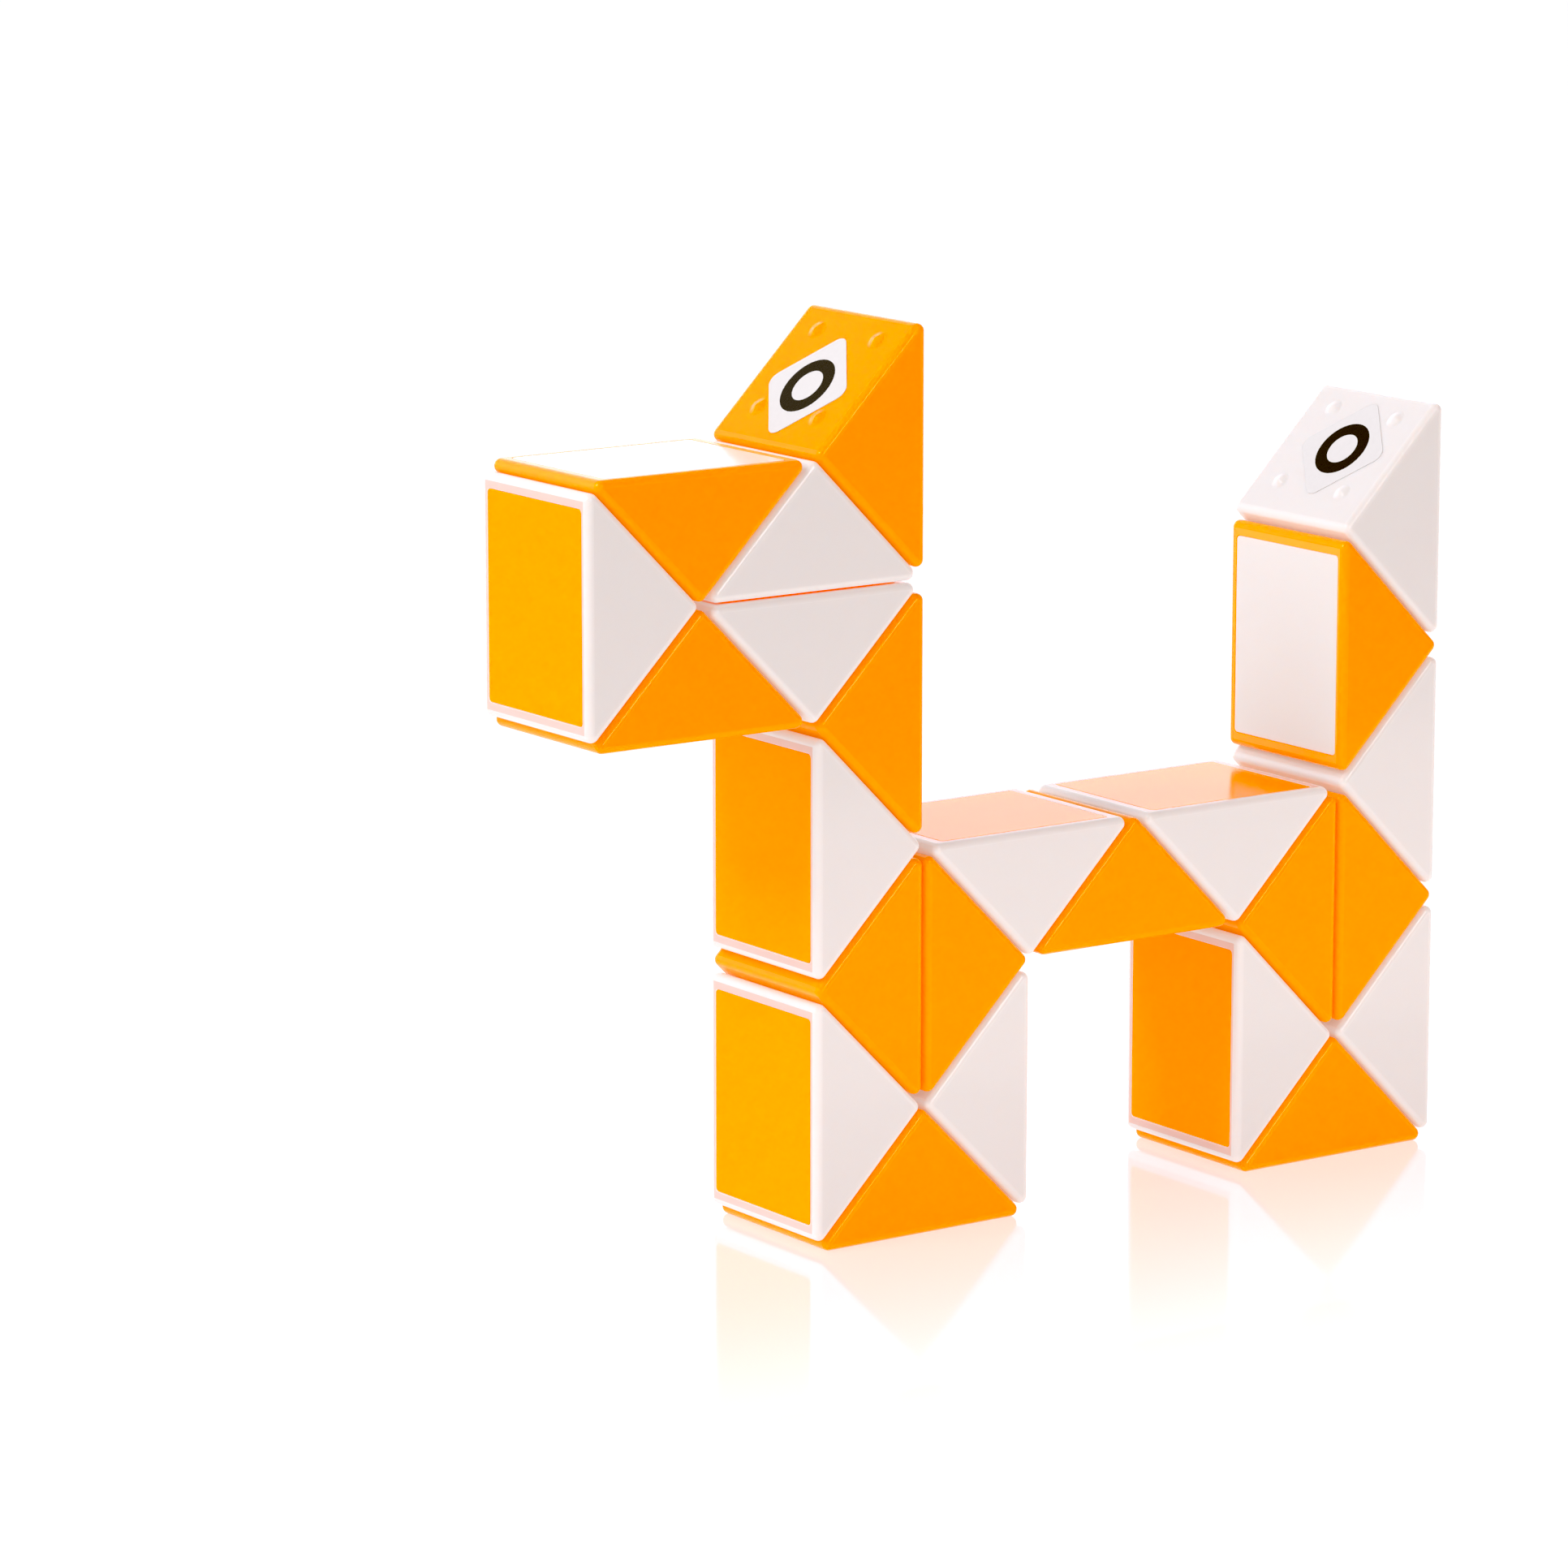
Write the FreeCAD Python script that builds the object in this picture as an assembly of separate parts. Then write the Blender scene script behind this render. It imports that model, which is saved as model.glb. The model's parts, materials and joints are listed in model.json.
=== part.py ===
"""Twisty snake puzzle of 24 wedges, folded as a standing dog.

Each wedge is a hollow right-angled prism with an open long face, closed by a clip-in cover of the
other colour. Neighbours meet leg face to leg face and turn on a sprung screw through the middle of
both faces. +X runs from the muzzle to the tail, +Z is up, and the prisms lie across Y. The origin is
on the table, at the middle of the dog's length and width. Units are millimetres.
"""
import FreeCAD
import Part
import math
import os

from FreeCAD import Vector

# ---- the ideal wedge and the gaps between wedges ----
LEG = 22.0                      # grid pitch: both legs of the wedge, and its width across Y
LEG_GAP = 0.1                   # how far the leg faces stand back from the ideal wedge
LONG_GAP = 0.12                 # the same for the long face
SIDE_GAP = 0.1                  # and for the two triangular sides
ROUND = 1.5                     # rounding of all outer edges, which lets the corners pass in a turn
WALL = 1.5                      # wall of the moulded shell

# ---- cover plate in the long face ----
COVER_LENGTH = 24.5             # along the long face
COVER_WIDTH = 19.2              # across the long face
COVER_THICKNESS = 1.4
COVER_CORNER = 0.5              # rounding of the plate's four corners
COVER_CLEARANCE = 0.06          # between the plate and the rim around it
TAB_LENGTH = 6.0                # snap tabs on the long sides of the plate
TAB_THICKNESS = 0.8
TAB_DEPTH = 2.2
BARB = 0.35                     # how far the tab's barb reaches under the ledge
BARB_HEIGHT = 0.6
LEDGE_WIDTH = 0.65              # ledge that carries the plate, inside each side wall
LEDGE_HEIGHT = 1.0
TAB_CLEARANCE = 0.1

# ---- stiffening ribs inside the shell ----
RIB_OFFSET = 4.6                # middle of each rib from the wedge's mid plane
RIB_THICKNESS = 0.9
RIB_TO_COVER = 0.1

# ---- click bumps on one leg face, and the dimples and round track on the face it meets ----
BUMP_OFFSET = 5.85              # from the centre of the face, along both of its sides
BUMP_RADIUS = 1.2
BUMP_HEIGHT = 0.35
END_BUMP_HEIGHT = 0.12          # on the two free faces, low enough to pass the wedges they swing by
TRACK_WIDTH = 2.8               # ring-shaped groove that the bumps run in between clicks
TRACK_DEPTH = 0.25
DIMPLE_DEPTH = 0.4              # where the bumps come to lie, at each quarter turn

# ---- sprung screw joint, depths measured from the ideal leg face ----
SCREW_RADIUS = 1.0
SCREW_REACH = 5.2               # how far the screw goes into the threaded boss
HEAD_RADIUS = 2.0
HEAD_HEIGHT = 1.3
HEAD_ROUND = 0.52               # rounding of the head's rim
TIP_CHAMFER = 0.4
DRIVE_WIDTH = 0.45              # cross recess in the head
DRIVE_LENGTH = 2.2
DRIVE_DEPTH = 0.7
WASHER_RADIUS = 2.4
WASHER_THICKNESS = 0.4
HOLE_CLEARANCE = 0.08           # running clearance of the screw in the sprung wedge
SPRING_WIRE = 0.3               # radius of the wire
SPRING_RADIUS = 2.0             # mean radius of the coil
SPRING_LENGTH = 2.6             # as fitted
SPRING_TURNS = 3
SOCKET_BORE = 2.5               # tube around the spring
SOCKET_RADIUS = 3.3
SOCKET_HEIGHT = 1.85
BOSS_RADIUS = 2.2               # threaded boss in the other wedge
BOSS_DEPTH = 5.7
COLLAR_RADIUS = 4.0             # bearing ring around the boss's mouth
COLLAR_CLEARANCE = 0.08         # between the collar and the face that turns on it

# ---- the fold: at each joint the next wedge curls on round the same apex, or zigzags ----
FIRST_APEX = (2, 6)             # apex of the ear wedge, in half-diagonals of the grid square
FIRST_ARM = (1, 1)              # from that apex to the ear's tip
FIRST_SENSE = -1                # the ear wedge opens clockwise, seen from the dog's left
FOLD = "CZCCZCZZZCCZCZZCZCCZZZZ"
GRID_CENTRE_X = 4               # middle of the dog's length on the same grid

HALF_DIAGONAL = LEG / math.sqrt(2)
HALF_WIDTH = LEG / 2
FACE_DEPTH = LEG / 2            # from the middle of a leg face to the middle of the long face
ACROSS = Vector(0, 1, 0)


def walk_fold():
    """Apex and the two arms of every wedge, in grid units (x, z)."""
    apex, arm, sense = FIRST_APEX, FIRST_ARM, FIRST_SENSE
    places = []
    for turn in FOLD + "E":
        far_arm = (-sense * arm[1], sense * arm[0])
        places.append((apex, arm, far_arm))
        if turn == "C":
            arm = far_arm
        else:
            apex = (apex[0] + far_arm[0], apex[1] + far_arm[1])
            arm = (-far_arm[0], -far_arm[1])
            sense = -sense
    return places


def grid_vector(point):
    return Vector(point[0] * HALF_DIAGONAL, 0, point[1] * HALF_DIAGONAL)


def wedge_placement(apex, near_arm, far_arm):
    """Moves a wedge from its own frame: long face on Z = 0, near leg on the -X side, apex up."""
    along = grid_vector(far_arm) - grid_vector(near_arm)
    along.normalize()
    middle = (grid_vector(near_arm) + grid_vector(far_arm)) * 0.5
    up = middle * -1
    up.normalize()
    side = up.cross(along)
    base = grid_vector(apex) + middle - Vector(GRID_CENTRE_X * HALF_DIAGONAL, 0, LONG_GAP)
    matrix = FreeCAD.Matrix(along.x, side.x, up.x, base.x,
                            along.y, side.y, up.y, base.y,
                            along.z, side.z, up.z, base.z,
                            0, 0, 0, 1)
    return FreeCAD.Placement(matrix)


def prism(inset, half_width, floor):
    """Triangular prism whose legs lie inset from the ideal legs, above Z = floor."""
    half_length = HALF_DIAGONAL - inset * math.sqrt(2) - floor
    corners = [Vector(-half_length, -half_width, floor),
               Vector(half_length, -half_width, floor),
               Vector(0, -half_width, floor + half_length)]
    wire = Part.makePolygon(corners + corners[:1])
    return Part.Face(wire).extrude(Vector(0, 2 * half_width, 0))


def block(low, high):
    size = high - low
    return Part.makeBox(size.x, size.y, size.z, low)


def leg_frame(side):
    """Middle of a leg face, its outward direction, and the direction along it to the apex."""
    outward = Vector(side, 0, 1).normalize()
    to_apex = Vector(-side, 0, 1).normalize()
    middle = Vector(0, 0, 0) + outward * FACE_DEPTH
    return middle, outward, to_apex


def cylinder(side, radius, from_depth, to_depth):
    """Round bar on a leg face's axis, between two depths below the ideal face."""
    middle, outward, _ = leg_frame(side)
    start = middle - outward * to_depth
    return Part.makeCylinder(radius, to_depth - from_depth, start, outward)


def face_corners(side):
    """The four click places of a leg face, on the ideal face."""
    middle, _, to_apex = leg_frame(side)
    offsets = (-BUMP_OFFSET, BUMP_OFFSET)
    return [middle + to_apex * u + ACROSS * v for u in offsets for v in offsets]


def dome_radius(height):
    """Radius of the sphere that a dome as wide as a bump is cut from."""
    return (BUMP_RADIUS ** 2 + height ** 2) / (2 * height)


def face_bumps(side, height):
    """Four low domes that stand on a leg face and click into a neighbour's dimples."""
    outward = leg_frame(side)[1]
    radius = dome_radius(height)
    domes = []
    for place in face_corners(side):
        ball = Part.makeSphere(radius, place + outward * (height - radius - LEG_GAP))
        root = place - outward * (LEG_GAP + WALL / 2)
        domes.append(ball.common(Part.makeCylinder(BUMP_RADIUS * 2, WALL, root, outward)))
    return domes


def face_track(side):
    """Round groove through the four click places, and a dimple at each of them."""
    outward = leg_frame(side)[1]
    bottom = LEG_GAP + TRACK_DEPTH
    radius = BUMP_OFFSET * math.sqrt(2)
    groove = cylinder(side, radius + TRACK_WIDTH / 2, -WALL, bottom)
    groove = groove.cut(cylinder(side, radius - TRACK_WIDTH / 2, -WALL, bottom))
    ball = dome_radius(BUMP_HEIGHT)
    lift = ball - LEG_GAP - DIMPLE_DEPTH
    dimples = [Part.makeSphere(ball, place + outward * lift) for place in face_corners(side)]
    return [groove] + dimples


def outer_wedge():
    outer = prism(LEG_GAP, HALF_WIDTH - SIDE_GAP, LONG_GAP)
    return outer.makeFillet(ROUND, outer.Edges)


def hollow_shell(outer):
    """Rounded outer wedge with ribbed cavity, ledges and the seat for the cover."""
    seat_depth = LONG_GAP + COVER_THICKNESS
    inner_half = HALF_WIDTH - SIDE_GAP - WALL
    cavity = prism(LEG_GAP + WALL, inner_half, seat_depth)
    keep = []
    for side in (-1, 1):
        rib_low = Vector(-LEG, side * RIB_OFFSET - RIB_THICKNESS / 2, seat_depth + RIB_TO_COVER)
        rib_high = Vector(LEG, side * RIB_OFFSET + RIB_THICKNESS / 2, LEG)
        keep.append(block(rib_low, rib_high))
        edge_a = side * inner_half
        edge_b = side * (inner_half - LEDGE_WIDTH)
        ledge_low = Vector(-LEG, min(edge_a, edge_b), seat_depth)
        ledge_high = Vector(LEG, max(edge_a, edge_b), seat_depth + LEDGE_HEIGHT)
        keep.append(block(ledge_low, ledge_high))
    cavity = cavity.cut(keep)
    seat = plate(COVER_LENGTH + 2 * COVER_CLEARANCE, COVER_WIDTH + 2 * COVER_CLEARANCE,
                 COVER_CORNER + COVER_CLEARANCE, 0, seat_depth)
    return outer.cut([cavity, seat])


def plate(length, width, corner, low, high):
    box = block(Vector(-length / 2, -width / 2, low), Vector(length / 2, width / 2, high))
    uprights = [edge for edge in box.Edges
                if abs(edge.Vertexes[0].Z - edge.Vertexes[1].Z) > (high - low) / 2]
    return box.makeFillet(corner, uprights)


def cover(outer):
    """Cover plate, flush with the rounded wedge around it, with two barbed snap tabs."""
    inner_face = LONG_GAP + COVER_THICKNESS
    body = plate(COVER_LENGTH, COVER_WIDTH, COVER_CORNER, 0, inner_face).common(outer)
    tab_outer = HALF_WIDTH - SIDE_GAP - WALL - LEDGE_WIDTH - TAB_CLEARANCE
    barb_low = inner_face + LEDGE_HEIGHT + TAB_CLEARANCE
    tabs = []
    for side in (-1, 1):
        tabs.append(side_block(side, tab_outer - TAB_THICKNESS, tab_outer,
                               inner_face - COVER_THICKNESS / 2, inner_face + TAB_DEPTH))
        tabs.append(side_block(side, tab_outer - TAB_THICKNESS / 2, tab_outer + BARB,
                               barb_low, barb_low + BARB_HEIGHT))
    return body.fuse(tabs).removeSplitter()


def side_block(side, y_near, y_far, z_low, z_high):
    """Block half a tab long each way from the middle, on one side of the mid plane."""
    y_low, y_high = sorted((side * y_near, side * y_far))
    return block(Vector(-TAB_LENGTH / 2, y_low, z_low), Vector(TAB_LENGTH / 2, y_high, z_high))


def sprung_leg(shell, side):
    """Leg face with click bumps, the screw's running hole and the tube that holds the spring."""
    wall_inner = LEG_GAP + WALL
    shell = shell.fuse(face_bumps(side, BUMP_HEIGHT))
    shell = shell.fuse(cylinder(side, SOCKET_RADIUS, wall_inner - WALL / 2, wall_inner + SOCKET_HEIGHT))
    bore = cylinder(side, SOCKET_BORE, wall_inner, wall_inner + 2 * SOCKET_HEIGHT)
    hole = cylinder(side, SCREW_RADIUS + HOLE_CLEARANCE, -LEG, wall_inner + SOCKET_HEIGHT)
    return shell.cut([bore, hole])


def threaded_leg(shell, side):
    """Leg face with its track, a bearing collar and the boss that the screw is driven into."""
    shell = shell.cut(face_track(side))
    mid_wall = LEG_GAP + WALL / 2
    shell = shell.fuse([cylinder(side, COLLAR_RADIUS, COLLAR_CLEARANCE - LEG_GAP, mid_wall),
                        cylinder(side, BOSS_RADIUS, mid_wall, BOSS_DEPTH)])
    return shell.cut(cylinder(side, SCREW_RADIUS, -LEG, BOSS_DEPTH + WALL))


def end_leg(shell, side):
    """Free leg face at an end of the snake: low bumps and no screw."""
    return shell.fuse(face_bumps(side, END_BUMP_HEIGHT))


def joint_hardware(side):
    """Screw, washer and spring of one joint, drawn on the threaded wedge's leg face."""
    middle, outward, to_apex = leg_frame(side)
    spring_seat = middle + outward * (LEG_GAP + WALL)
    spring_top = spring_seat + outward * SPRING_LENGTH
    washer_top = spring_top + outward * WASHER_THICKNESS
    tip = middle - outward * SCREW_REACH
    shank_length = (spring_top - tip).Length + WASHER_THICKNESS
    shank = Part.makeCylinder(SCREW_RADIUS, shank_length, tip, outward)
    shank = shank.makeChamfer(TIP_CHAMFER, [shank.Edges[index] for index in tip_edges(shank, tip)])
    head = Part.makeCylinder(HEAD_RADIUS, HEAD_HEIGHT, washer_top, outward)
    head_top = washer_top + outward * HEAD_HEIGHT
    head = head.makeFillet(HEAD_ROUND, [head.Edges[index] for index in tip_edges(head, head_top)])
    slots = []
    for direction, other in ((to_apex, ACROSS), (ACROSS, to_apex)):
        corner = head_top - outward * DRIVE_DEPTH - direction * (DRIVE_LENGTH / 2)
        corner = corner - other * (DRIVE_WIDTH / 2)
        outline = [corner, corner + direction * DRIVE_LENGTH,
                   corner + direction * DRIVE_LENGTH + other * DRIVE_WIDTH, corner + other * DRIVE_WIDTH]
        face = Part.Face(Part.makePolygon(outline + outline[:1]))
        slots.append(face.extrude(outward * (2 * DRIVE_DEPTH)))
    screw = shank.fuse(head).cut(slots).removeSplitter()
    washer = Part.makeCylinder(WASHER_RADIUS, WASHER_THICKNESS, spring_top, outward)
    washer = washer.cut(Part.makeCylinder(SCREW_RADIUS, LEG, spring_seat, outward))
    return [screw, washer, coil_spring(spring_seat, outward, to_apex)]


def tip_edges(round_bar, end_point):
    """Index of the round edge whose centre is the given end of a bar."""
    found = []
    for index, edge in enumerate(round_bar.Edges):
        curve = edge.Curve
        if isinstance(curve, Part.Circle) and curve.Center.distanceToPoint(end_point) < SPRING_WIRE:
            found.append(index)
    return found


def coil_spring(seat, outward, to_apex):
    rise = SPRING_LENGTH - 2 * SPRING_WIRE
    helix = Part.makeHelix(rise / SPRING_TURNS, rise, SPRING_RADIUS)
    start = Vector(SPRING_RADIUS, 0, 0)
    lead = Vector(0, 2 * math.pi * SPRING_RADIUS, rise / SPRING_TURNS)
    profile = Part.Wire(Part.makeCircle(SPRING_WIRE, start, lead))
    wire = Part.Wire(helix).makePipeShell([profile], True, True)
    spring = wire if wire.ShapeType == "Solid" else Part.Solid(Part.Shell(wire.Faces))
    third = outward.cross(to_apex)
    base = seat + outward * SPRING_WIRE
    matrix = FreeCAD.Matrix(to_apex.x, third.x, outward.x, base.x,
                            to_apex.y, third.y, outward.y, base.y,
                            to_apex.z, third.z, outward.z, base.z,
                            0, 0, 0, 1)
    spring.Placement = FreeCAD.Placement(matrix)
    return spring


def save(name, shape, placement):
    shape = shape.copy()
    shape.Placement = placement.multiply(shape.Placement)
    shape.exportStep("parts/" + name + ".step")
    print(name, len(shape.Solids), "solids", round(shape.Volume, 1), "mm3", shape.isValid())


def main():
    os.makedirs("parts", exist_ok=True)
    outer = outer_wedge()
    bare = hollow_shell(outer)
    sprung_near = sprung_leg(bare, -1)
    shells = {
        "sprung": sprung_leg(sprung_near, 1),
        "sprung_first": sprung_leg(end_leg(bare, -1), 1),
        "threaded": threaded_leg(threaded_leg(bare, -1), 1),
        "threaded_last": end_leg(threaded_leg(bare, -1), 1),
    }
    cover_plate = cover(outer)
    near_hardware = joint_hardware(-1)
    both_hardware = Part.Compound(near_hardware + joint_hardware(1))
    near_hardware = Part.Compound(near_hardware)
    places = walk_fold()
    for number, place in enumerate(places, start=1):
        placement = wedge_placement(*place)
        first, last = number == 1, number == len(places)
        kind = "threaded" if number % 2 == 0 else "sprung"
        if first or last:
            kind += "_first" if first else "_last"
        name = "wedge_%02d_" % number
        save(name + "shell", shells[kind], placement)
        save(name + "cover", cover_plate, placement)
        if number % 2 == 0:
            save(name + "screws", near_hardware if last else both_hardware, placement)


main()
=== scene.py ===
"""Looks of the twisty snake puzzle, folded as a standing dog.

Each wedge gets a moulded skin for its shell and one for its cover plate. They are closed meshes,
built in the wedge's own frame in millimetres, and placed from the boxes and joints of the CAD frame.
In the wedge's own frame X runs along the long face towards the next wedge, Y runs across, and Z
points from the long face to the apex.
"""
import bpy
import json
import math

from mathutils import Matrix, Vector
from mathutils.geometry import tessellate_polygon

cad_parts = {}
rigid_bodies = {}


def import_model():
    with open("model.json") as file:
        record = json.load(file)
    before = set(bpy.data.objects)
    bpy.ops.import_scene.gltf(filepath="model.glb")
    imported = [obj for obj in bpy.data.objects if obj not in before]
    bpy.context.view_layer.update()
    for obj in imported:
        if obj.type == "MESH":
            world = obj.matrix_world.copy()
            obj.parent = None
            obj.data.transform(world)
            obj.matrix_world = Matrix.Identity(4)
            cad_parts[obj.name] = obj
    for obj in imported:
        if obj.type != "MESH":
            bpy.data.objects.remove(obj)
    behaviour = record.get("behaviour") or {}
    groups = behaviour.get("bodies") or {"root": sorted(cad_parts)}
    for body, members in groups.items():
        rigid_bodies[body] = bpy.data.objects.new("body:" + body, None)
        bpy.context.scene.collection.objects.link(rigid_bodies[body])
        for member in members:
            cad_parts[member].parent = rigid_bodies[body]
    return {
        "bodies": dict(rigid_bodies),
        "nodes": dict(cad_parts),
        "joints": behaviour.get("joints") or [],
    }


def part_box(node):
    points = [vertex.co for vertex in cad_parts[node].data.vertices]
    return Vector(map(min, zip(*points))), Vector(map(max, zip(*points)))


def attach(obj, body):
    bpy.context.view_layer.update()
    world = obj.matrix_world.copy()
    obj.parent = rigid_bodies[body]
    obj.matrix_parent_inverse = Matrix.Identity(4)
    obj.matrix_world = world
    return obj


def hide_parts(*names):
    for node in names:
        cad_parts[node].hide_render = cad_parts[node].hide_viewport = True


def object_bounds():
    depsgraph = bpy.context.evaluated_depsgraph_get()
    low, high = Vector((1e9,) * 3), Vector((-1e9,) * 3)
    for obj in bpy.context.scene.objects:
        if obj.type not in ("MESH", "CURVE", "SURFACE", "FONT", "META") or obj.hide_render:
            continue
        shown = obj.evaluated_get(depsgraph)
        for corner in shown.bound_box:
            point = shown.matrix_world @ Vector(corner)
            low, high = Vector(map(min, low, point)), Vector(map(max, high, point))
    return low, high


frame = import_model()
cad_low, cad_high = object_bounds()

MM = 0.001

# ---- the wedge ----
LEG = 22.0                      # grid pitch: both legs of the ideal wedge, and its width
LEG_GAP = 0.1                   # how far the leg faces stand back from the ideal wedge
LONG_GAP = 0.12                 # the same for the long face
SIDE_GAP = 0.1                  # and for the two triangular sides
ROUND = 0.875                   # rounding of the moulded edges
ARC_STEP = 15                   # degrees between the points of a rounded edge
RIM_ARC_STEP = 45               # and of the tiny rounding of a rim
ROUND_STEPS = 40                # points round a hole
DOME_STEPS = 7                  # rings of a bump or dimple
WALL = 1.5
HALF_DIAGONAL = LEG / math.sqrt(2)
FACE_DEPTH = LEG / 2            # from the middle of a leg face to the middle of the long face
CORE_HALF_WIDTH = LEG / 2 - SIDE_GAP - ROUND

# ---- cover plate and the seat it is let into ----
COVER_HALF_LENGTH = 12.25
COVER_HALF_WIDTH = 9.6
COVER_THICKNESS = 1.4
COVER_CORNER = 0.5
COVER_EDGE = 0.08               # tiny rounding of the plate's rim
SEAT_CLEARANCE = 0.04
SEAT_RIM = 0.07                 # tiny rounding of the seat's mouth
SEAT_DEPTH = LONG_GAP + COVER_THICKNESS
TAB_HALF_LENGTH = 3.0
TAB_THICKNESS = 0.8
TAB_DEPTH = 2.2
BARB = 0.35
BARB_HEIGHT = 0.6
LEDGE_WIDTH = 0.65
LEDGE_HEIGHT = 1.0
TAB_CLEARANCE = 0.1

# ---- pockets between the ribs inside the shell ----
RIB_OFFSET = 4.6
RIB_THICKNESS = 0.9
POCKET_HALF_WIDTH = LEG / 2 - SIDE_GAP - WALL

# ---- click bumps and dimples, and the screw joints ----
BUMP_OFFSET = 5.85              # from the middle of the face, along both of its sides
BUMP_RADIUS = 1.35
BUMP_HEIGHT = 0.35
DIMPLE_RADIUS = 1.45
DIMPLE_DEPTH = 0.38
SCREW_RADIUS = 1.0
SCREW_CLEARANCE = 0.08
SPRING_BORE = 2.5
SPRING_TUBE = 3.3
SPRING_TUBE_HEIGHT = 1.85
COLLAR_RADIUS = 4.0
COLLAR_RISE = 0.02              # above the ideal face
BOSS_RADIUS = 2.2
BOSS_DEPTH = 5.7

# ---- material numbers in the skin of a shell ----
BODY = 0
RIM = 1                         # the flat frame round the cover, with painted bounce light from it
EDGE = 2                        # the rounded edges, with a painted highlight
SHELL_MATERIALS = 3             # body, rim and edges
COVER_MATERIALS = 1             # body only

# ---- labels on the two free end faces ----
LABEL_HALF = 5.45
LABEL_CORNER = 1.4
LABEL_THICKNESS = 0.06
LABEL_RING = (2.2, 3.9)
RING = 1                        # material number of the ring in a label's skin
EAR_LABEL_CENTRE = (1.9, 0.0)   # towards the apex, and across
TAIL_LABEL_CENTRE = (-0.3, -0.7)

# ---- view and light ----
VIEW_AZIMUTH = 35.085           # degrees from +Y towards +X
VIEW_ELEVATION = 11.42
VIEW_DISTANCE = 0.77007
VIEW_OFFSET = Vector((-0.01868, 0.01316, -0.00304))
VIEW_LENS = 149.5
SENSOR = 36.0
BLACK_POINT = (0.045, 0.045, 0.07)
LIGHT_BOUNCES = 24

# ---- floor ----
FLOOR_HALF = 6.0
FLOOR_COLOUR = (0.2, 0.2, 0.2)
FLOOR_ROUGHNESS = 0.5
FLOOR_TINT = (1.0, 0.93, 0.98)
FLOOR_GLOW = 0.89
FLOOR_IOR = 2.6
MIRROR_ROUGHNESS = 0.08
SHINE_REACH = 0.085             # how far from the object the floor mirrors it

# ---- sky, over which part of each direction it changes, and the lamps ----
SKY = (0.95, 0.95, 0.95)
SKY_FRONT = (0.57, 0.43, 0.41)
SKY_BACK = (1.6, 1.6, 1.8)
SKY_TOP = 0.45                  # of the brightness to the left of the object
SKY_RIGHT = 0.45
FRONT_SPAN = (0.2, -0.7)
BACK_SPAN = (0.1, 0.8)
TOP_SPAN = (0.3, 0.75)
RIGHT_SPAN = (0.65, 0.95)
SOFTBOXES = (                   # name, direction, distance, (width, height), brightness
    ("side_light", (-1.0, -0.1, 0.15), 0.9, (0.7, 0.7), 0.3),
    ("front_light", (-0.14, -0.85, 0.5), 0.9, (0.3, 0.3), 6.5),
    ("top_light", (-0.75, 0.05, 0.66), 1.4, (0.52, 0.52), 14.0),
)
STRIP_COLOUR = (1.0, 0.85, 0.8)
STRIP_HEIGHT = 0.021            # of the low light strip in front of the feet
STRIP_DISTANCE = 0.05
STRIP_SIZE = (0.35, 0.04)
STRIP_BRIGHTNESS = 0.7

# ---- colours, linear ----
ORANGE = (0.92, 0.295, 0.0)
ORANGE_DEEP = (0.91, 0.28, 0.0)
WHITE = (0.48, 0.48, 0.48)
WHITE_COOL = (0.47, 0.48, 0.48)
ORANGE_RIM_PAINTED_BOUNCE = (0.92, 0.33, 0.03)     # painted bounce light from the white cover beside it
WHITE_RIM_PAINTED_BOUNCE = (0.48, 0.42, 0.40)      # painted bounce light from the orange cover beside it
ORANGE_TINT = (1.0, 0.7, 0.3)       # of its reflections, seen square on
WHITE_TINT = (1, 1, 1)
ORANGE_BLEED = (1.0, 0.3, 0.05)
WHITE_BLEED = (1.0, 0.65, 0.5)
BLEED_WEIGHT = 1.0
BLEED_DEPTH = 0.0015
ORANGE_PAINTED_GLOW = (0.12, 0.045, 0.0)         # painted glow: an even emission standing in for light that the walls carry into the gaps
WHITE_PAINTED_GLOW = (0.305, 0.245, 0.235)
# emission on the rims: painted glow with painted bounce light from the cover beside them
ORANGE_RIM_PAINTED_GLOW = (0.12, 0.09, 0.04)
WHITE_RIM_PAINTED_GLOW = (0.30, 0.13, 0.10)
# emission on the rounded edges: a painted highlight
ORANGE_EDGE_PAINTED_HIGHLIGHT = (0.12, 0.07, 0.025)
WHITE_EDGE_PAINTED_HIGHLIGHT = (0.325, 0.27, 0.26)
LABEL_WHITE = (0.66, 0.64, 0.64)
INK = (0.012, 0.004, 0.005)
STEEL = (0.62, 0.62, 0.63)

# ---- finish of the plastics, the labels and the steel ----
FLOW_SCALE = 38.0               # noise scales: pigment flow, wear, orange peel
WEAR_SCALE = 160.0
PEEL_SCALE = 300.0
PEEL_STRENGTH = 0.02
PEEL_DISTANCE = 0.00003
PLASTIC_ROUGHNESS = 0.16
PLASTIC_WEAR = 0.03             # how far the roughness strays either way
PLASTIC_IOR = 1.49
FILM_GRAIN_SCALE = 1400.0
FILM_SHADE = 0.94               # of the colour, where the grain is darkest
FILM_WEAR = 0.15
FILM_IOR = 1.45
FILM_SPECULAR = 0.3
LABEL_ROUGHNESS = 0.25
INK_ROUGHNESS = 0.2
STEEL_GRAIN_SCALE = 2500.0
STEEL_ROUGHNESS = (0.22, 0.42)
STEEL_BUMP = 0.1
STEEL_BUMP_DISTANCE = 0.00003


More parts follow.
